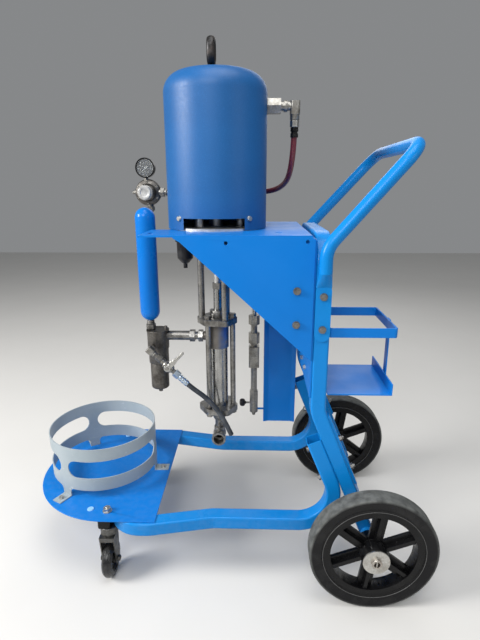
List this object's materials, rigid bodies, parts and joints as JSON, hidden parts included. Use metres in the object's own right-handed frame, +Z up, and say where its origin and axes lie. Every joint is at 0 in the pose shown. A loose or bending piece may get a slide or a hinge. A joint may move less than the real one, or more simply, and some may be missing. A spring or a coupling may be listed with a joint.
{
  "type": "air driven paint pump cart",
  "caption": "Blue tube trolley carrying an air driven piston paint pump with domed motor cover, surge tank, filter, regulator and pail ring.",
  "frame": {"origin": "on the floor, below the middle of the outline seen from above", "axes": "+Z up, +X towards the handle and the two large wheels, -Y the side with the pump's outlet valve lever"},
  "size_m": [1.03, 0.612, 1.3],
  "materials": {
    "blue_tube": "glossy sky blue paint",
    "blue_sheet": "glossy sky blue paint",
    "pale_plug": "pale blue plug",
    "grey_hoop": "satin grey paint",
    "zinc": "zinc plated",
    "axle_steel": "turned steel",
    "black_moulding": "moulded black plastic",
    "black_tyre": "dusty black rubber",
    "blue_cover": "textured blue paint",
    "dark_steel": "dark oiled steel",
    "cast_silver": "cast and turned aluminium",
    "pump_steel": "used stainless steel",
    "polished_rod": "ground and polished",
    "blue_tank": "glossy blue paint",
    "plated_fittings": "nickel plated",
    "aged_fittings": "worn plated steel",
    "red_hose": "deep red air hose",
    "black_hose": "black paint hose",
    "dark_plastic": "dark plastic",
    "needle_paint": "pale painted pointer"
  },
  "bodies": {
    "frame": {"base_tube": "blue_tube", "upright_tube": "blue_tube", "handle": "blue_tube", "axle_tube": "blue_tube", "joint_strips": "blue_tube", "front_plate": "blue_sheet", "pump_bracket": "blue_sheet", "back_plate": "blue_sheet", "side_panel": "blue_sheet", "rear_shelf": "blue_sheet", "shelf_rail": "blue_sheet", "plate_plugs": "pale_plug", "pail_hoop": "grey_hoop", "frame_bolts": "zinc", "small_screws": "zinc", "axle_retainers": "zinc", "caster_stems": "zinc", "axle_shaft": "axle_steel", "caster_spacers": "black_moulding", "gauge_case": "black_moulding", "motor_cover": "blue_cover", "lifting_eye": "dark_steel", "motor_body": "cast_silver", "regulator_body": "cast_silver", "tie_rods": "pump_steel", "upper_flange": "pump_steel", "packing_nut": "pump_steel", "outlet_body": "pump_steel", "foot_valve": "pump_steel", "suction_elbow": "pump_steel", "outlet_pipe": "pump_steel", "filter_head": "pump_steel", "filter_bowl": "pump_steel", "filter_element": "pump_steel", "pump_cylinder": "polished_rod", "surge_tank": "blue_tank", "air_inlet": "plated_fittings", "hose_nuts": "plated_fittings", "drain_valve": "plated_fittings", "air_pipes": "plated_fittings", "air_drop": "aged_fittings", "air_hose": "red_hose", "drain_hose": "black_hose", "air_filter": "dark_plastic"},
    "wheel_near": {"wheel_near_tyre": "black_tyre", "wheel_near_hub": "black_moulding"},
    "wheel_far": {"wheel_far_tyre": "black_tyre", "wheel_far_hub": "black_moulding"},
    "caster_near": {"caster_near_fork": "zinc"},
    "caster_near_roll": {"caster_near_wheel": "black_tyre"},
    "caster_far": {"caster_far_fork": "zinc"},
    "caster_far_roll": {"caster_far_wheel": "black_tyre"},
    "piston_rod": {"motor_piston": "cast_silver", "rod_coupling": "pump_steel", "pump_rod": "polished_rod"},
    "check_ball": {"foot_ball": "polished_rod"},
    "lever": {"drain_lever": "plated_fittings"},
    "pressure_knob": {"regulator_knob": "plated_fittings"},
    "pointer": {"gauge_needle": "needle_paint"},
    "bleed": {"bleed_knob": "dark_plastic"}
  },
  "joints": [
    {"name": "wheel_near_spin", "type": "hinge", "parent": "frame", "child": "wheel_near", "pos_m": [0.365, -0.263, 0.15], "axis": [0, 1, 0], "continuous": true},
    {"name": "wheel_far_spin", "type": "hinge", "parent": "frame", "child": "wheel_far", "pos_m": [0.365, 0.263, 0.15], "axis": [0, 1, 0], "continuous": true},
    {"name": "caster_near_swivel", "type": "hinge", "parent": "frame", "child": "caster_near", "pos_m": [-0.286, -0.188, 0.135], "axis": [0, 0, 1], "continuous": true},
    {"name": "caster_near_roll_spin", "type": "hinge", "parent": "caster_near", "child": "caster_near_roll", "pos_m": [-0.286, -0.193, 0.047], "axis": [1, 0, 0], "continuous": true},
    {"name": "caster_far_swivel", "type": "hinge", "parent": "frame", "child": "caster_far", "pos_m": [-0.286, 0.188, 0.135], "axis": [0, 0, 1], "continuous": true},
    {"name": "caster_far_roll_spin", "type": "hinge", "parent": "caster_far", "child": "caster_far_roll", "pos_m": [-0.286, 0.193, 0.047], "axis": [1, 0, 0], "continuous": true},
    {"name": "pump_stroke", "type": "slide", "parent": "frame", "child": "piston_rod", "axis": [0, 0, 1], "range_m": [-0.05, 0.05]},
    {"name": "ball_lift", "type": "slide", "parent": "frame", "child": "check_ball", "axis": [0, 0, 1], "range_m": [0, 0.008]},
    {"name": "drain_lever_turn", "type": "hinge", "parent": "frame", "child": "lever", "pos_m": [-0.13893, -0.0694, 0.52739], "axis": [0, 1, 0], "range_deg": [0, 90]},
    {"name": "pressure_knob_turn", "type": "hinge", "parent": "frame", "child": "pressure_knob", "pos_m": [-0.21, 0.1, 0.96], "axis": [0, 1, 0], "range_deg": [-540, 540]},
    {"name": "pointer_turn", "type": "hinge", "parent": "frame", "child": "pointer", "pos_m": [-0.213, 0.128, 1.024], "axis": [0, 1, 0], "range_deg": [0, 270], "stiffness_Nm_per_rad": 0.002},
    {"name": "bleed_knob_turn", "type": "hinge", "parent": "frame", "child": "bleed", "pos_m": [0.05, 0.14, 0.332], "axis": [1, 0, 0], "range_deg": [0, 720]}
  ]
}
